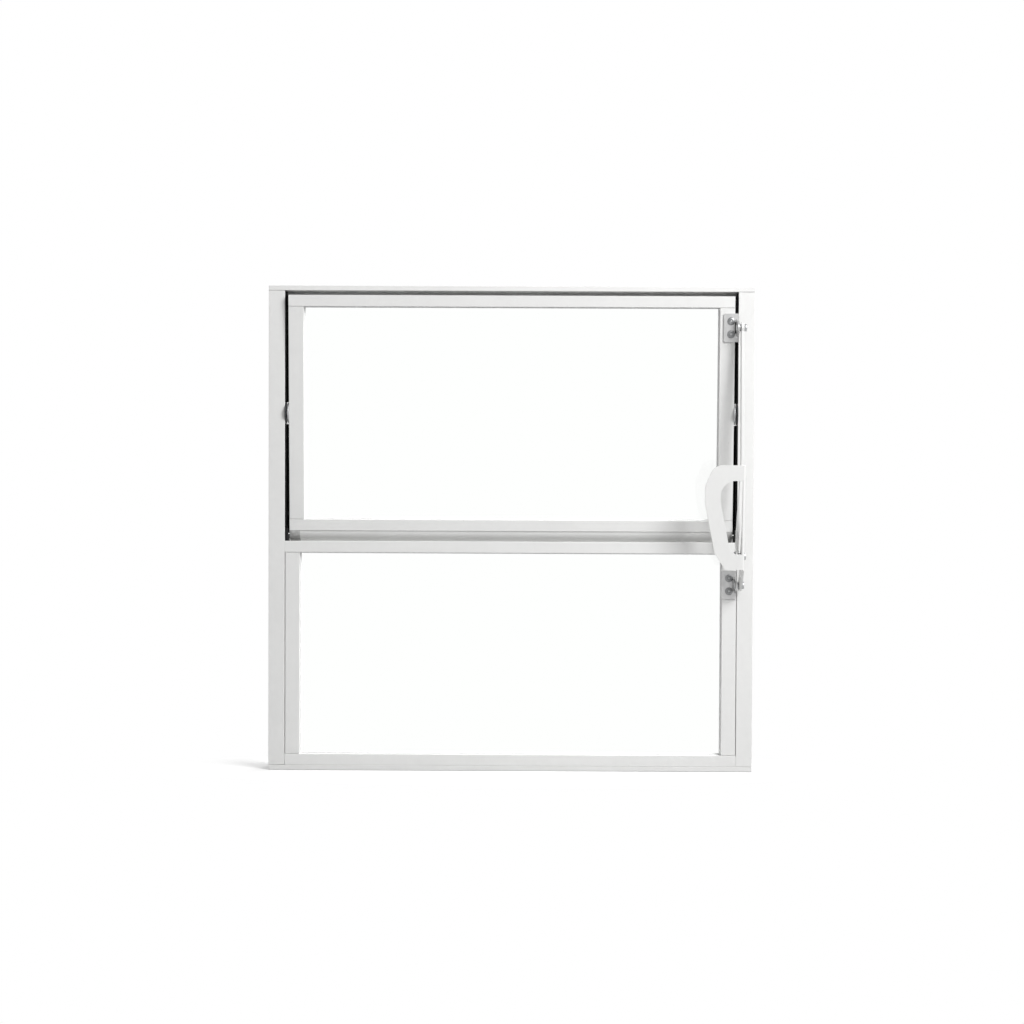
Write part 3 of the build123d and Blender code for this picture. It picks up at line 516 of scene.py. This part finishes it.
low, high = box_mm("sash_right_pile")
root, tip = low[0] + BACK_THICK, high[0]
for side, hand in ((-1, "left"), (1, "right")):
    parts = []
    for bottom, top in runs:
        foot = [(side * root, SASH_MIDDLE, z) for z in (bottom, top)]
        edge = [(side * tip, SASH_MIDDLE, z) for z in (bottom, top)]
        facing = ((side, 0, 0), (0, 1, 0))
        parts += [strip(*foot, *facing, BACK_WIDE, BACK_THICK),
                  strip(*edge, *facing, FIN_THICK, FIN_DEEP),
                  fibres(*foot, *facing, REACH, MOUTH)]
    merge(f"sash_{hand}_brush", [with_sash(p) for p in parts], "sash", f"sash_{hand}_pile")

low, high = box_mm("head_pile")
root, level = high[1] - BACK_THICK, (low[2] + high[2]) / 2
foot = [(x, root, level) for x in (low[0], high[0])]
facing = ((0, -1, 0), (0, 0, 1))
merge("head_brush", [strip(*foot, *facing, BACK_WIDE, BACK_THICK),
                     fibres(*foot, *facing, root - low[1], MOUTH)], "frame", "head_pile")

# %% [markdown]
# ## Near-black strips on the jambs, painted shade
# The gap beside the sash is black all the way down. Its shade is painted by a near-black strip of rubber
# that lines the jamb behind the brush. The strip is half a millimetre thick and is broken round the
# pivot's bush, so plain boxes are enough: the four corners of a strip, once at its foot and once at its
# top.

# %% Jamb seals
SHADE_STRIP_THICK, SHADE_STRIP_BACK = 0.5, 2.0  # mm, the strip's thickness and the depth of its back edge
BUSH_ROOM = 13.35  # mm from the pivot to the strip's ends, just past the bush
BLOCK_TOP = 300.2  # mm, just over the gutter's block

# Three lengths from the bottom up. The lowest stands behind the block's brim, so it is narrower.
fronts = np.array([-12.7, -18.6, -18.6])[:, None]
ends = np.array([[292.6, BLOCK_TOP], [BLOCK_TOP, PIVOT[2] - BUSH_ROOM], [PIVOT[2] + BUSH_ROOM, 593.7]])
jamb = box_mm("right_jamb")[0][0]
for side, hand in ((-1, "left"), (1, "right")):
    corner = np.array([[jamb, 0], [jamb, 1], [jamb - SHADE_STRIP_THICK, 1], [jamb - SHADE_STRIP_THICK, 0]])[::side]
    rings = np.zeros((3, 2, 4, 3))
    rings[..., 0] = side * corner[:, 0]
    rings[..., 1] = (fronts + (SHADE_STRIP_BACK - fronts) * corner[:, 1])[:, None]
    rings[..., 2] = ends[:, :, None]
    # Near-black rubber, so that the strip paints the shade in the gap beside the sash.
    made = rings_to_mesh(f"{hand}_jamb_shade_strip", rings, "dark_rubber", "frame", smooth=False)
    print(made.name, "lengths", np.round(ends[:, 1] - ends[:, 0], 1), "mm")

# %% [markdown]
# ## Camera
# The picture was taken from straight in front, a little above the transom, from about two and a half
# metres. A camera can be dragged into place by hand, but here its place is worked out from a target,
# two angles and a distance, so that each number says what it does and can be tuned by itself.

# %% Camera
def camera_like_photo(distance, lens, azimuth, elevation, roll, target):
    """Camera at distance (m) from target, angles in degrees, turned by roll about its own axis."""
    a, e, t = np.radians([azimuth, elevation, roll])
    ahead = np.array([-np.sin(a) * np.cos(e), np.cos(a) * np.cos(e), -np.sin(e)])
    right = np.array([np.cos(a), np.sin(a), 0.0])
    up = np.cross(right, ahead)
    side, top = right * np.cos(t) + up * np.sin(t), up * np.cos(t) - right * np.sin(t)
    pose = np.eye(4)
    pose[:3, 0], pose[:3, 1], pose[:3, 2] = side, top, -ahead
    pose[:3, 3] = np.array(target) - ahead * distance
    lens_data = bpy.data.cameras.new("camera")
    lens_data.lens, lens_data.sensor_width = lens, 36.0
    lens_data.clip_start, lens_data.clip_end = 0.05, 60.0
    camera = bpy.data.objects.new("camera", lens_data)
    camera.matrix_world = Matrix(pose.tolist())
    bpy.context.scene.collection.objects.link(camera)
    bpy.context.scene.camera = camera
    return camera


camera = camera_like_photo(distance=2.4, lens=68.2, azimuth=0.27, elevation=1.394, roll=0.242,
                           target=(0.00136, -0.020, 0.32137))
print("the camera stands at", np.round(camera.matrix_world.translation, 3), "m")

# %% [markdown]
# ## Floor
# The window stands on plain pale paper, as in a product picture. Paper that is lit like the rest
# always ends in a horizon somewhere, so the disc is matt and keeps the shadow near the sill, and
# fades to plain white further out. To the window itself the paper is a light grey, which throws less
# light back up, so that the head stays brighter than the sill, as it is in the picture.

# %% Floor
def seen(tree, ray):
    """1 for rays that the eye follows, from the camera, off a mirror or through glass; 0 for the rest."""
    plain = node(tree, "Math", {0: ray["Is Camera Ray"], 1: ray["Is Glossy Ray"]}, operation="MAXIMUM")
    any_way = {0: plain.outputs[0], 1: ray["Is Transmission Ray"]}
    return node(tree, "Math", any_way, operation="MAXIMUM").outputs[0]


def plain_floor(radius, fade_from, fade_to, squeeze, corners=96):
    """A flat disc (m): lit paper within fade_from of its middle, squeezed in depth, white past fade_to."""
    angle = np.linspace(0, 2 * np.pi, corners, endpoint=False)
    ring = np.stack([radius * np.cos(angle), radius * np.sin(angle), np.full(corners, -0.0002)], axis=1)
    mesh = bpy.data.meshes.new("floor")
    mesh.from_pydata(ring.tolist(), [], [list(range(corners))])
    floor = bpy.data.objects.new("floor", mesh)
    bpy.context.scene.collection.objects.link(floor)
    paper, tree, out, at = begin("pale_paper")
    near = node(tree, "VectorMath", {0: at, 1: (1.0, squeeze, 1.0)}, operation="MULTIPLY")
    reach = node(tree, "VectorMath", {0: near.outputs[0]}, operation="LENGTH")
    far = node(tree, "MapRange", {"Value": reach.outputs["Value"], "From Min": fade_from,
                                  "From Max": fade_to}, interpolation_type="SMOOTHSTEP")
    ray = node(tree, "LightPath").outputs
    white_part = node(tree, "Math", {0: far.outputs[0], 1: seen(tree, ray)}, operation="MULTIPLY")
    shade = node(tree, "Mix", {0: ray["Is Diffuse Ray"], 6: linear("#fbfbfb"), 7: linear("#b0b0b0")},
                 data_type="RGBA")
    matt = node(tree, "BsdfDiffuse", {"Color": shade.outputs[2], "Roughness": 0.0})
    white = node(tree, "Emission", {"Color": (1, 1, 1, 1), "Strength": 1.0})
    both = node(tree, "MixShader", {0: white_part.outputs[0], 1: matt.outputs[0], 2: white.outputs[0]})
    tree.links.new(both.outputs[0], out.inputs[0])
    mesh.materials.append(paper)
    floor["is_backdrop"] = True


plain_floor(radius=9.0, fade_from=0.24, fade_to=0.45, squeeze=3.2)

# %% [markdown]
# ## Light
# A white room lights from all sides, and a large round lamp at the upper right gives the soft shadow
# of the lever. Being near, it lights the head and the right jamb more than the sill and the left one,
# as the picture shows. A weaker lamp does the same for the back, and a third, weaker still, stands at
# the left, so that no side of the white window turns grey. The surround is white to the eye, to
# mirrors and through glass, but lights the window less, so that white paint keeps its shading.

# %% Surround and lamps
def white_surround(level):
    """White for what the camera, mirrors and glass see; an even soft light of this level for the rest."""
    world = bpy.data.worlds.new("surround")
    bpy.context.scene.world = world
    world.use_nodes = True
    tree = world.node_tree
    tree.nodes.clear()
    light = node(tree, "Background", {"Color": (1, 1, 1, 1), "Strength": level})
    white = node(tree, "Background", {"Color": (1, 1, 1, 1), "Strength": 1.0})
    both = node(tree, "MixShader", {0: seen(tree, node(tree, "LightPath").outputs),
                                    1: light.outputs[0], 2: white.outputs[0]})
    tree.links.new(both.outputs[0], node(tree, "OutputWorld").inputs[0])


def softbox(name, direction, level, distance=2.4, wide=1.1):
    """A round lamp (m) shining along direction at the window's middle: watts = level * pi * distance^2."""
    light = bpy.data.lights.new(name, "AREA")
    light.shape, light.size = "DISK", wide
    light.energy = level * np.pi * distance**2
    lamp = bpy.data.objects.new(name, light)
    z = -np.array(direction, float) / np.linalg.norm(direction)
    x = np.cross((0, 1.0, 0), z)
    x = x / np.linalg.norm(x)
    pose = np.eye(4)
    pose[:3, 0], pose[:3, 1], pose[:3, 2] = x, np.cross(z, x), z
    pose[:3, 3] = np.array([0.0, 0.0, cad_box[1][2] / 2]) + z * distance
    lamp.matrix_world = Matrix(pose.tolist())
    lamp.visible_camera = False
    bpy.context.scene.collection.objects.link(lamp)
    print("the", name, "lamp stands at", np.round(lamp.matrix_world.translation, 2), "m")


white_surround(0.41)
softbox("key", direction=(-0.75, 0.8, -0.8), level=3.1)
softbox("back", direction=(-0.35, -0.8, -0.6), level=1.08)
softbox("fill", direction=(1.0, 0.05, -0.35), level=0.5)
bpy.context.scene.view_settings.view_transform = "Standard"

# %% Close
low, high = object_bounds()
print("size in mm:", np.round((np.array(high) - np.array(low)) * MM, 1))
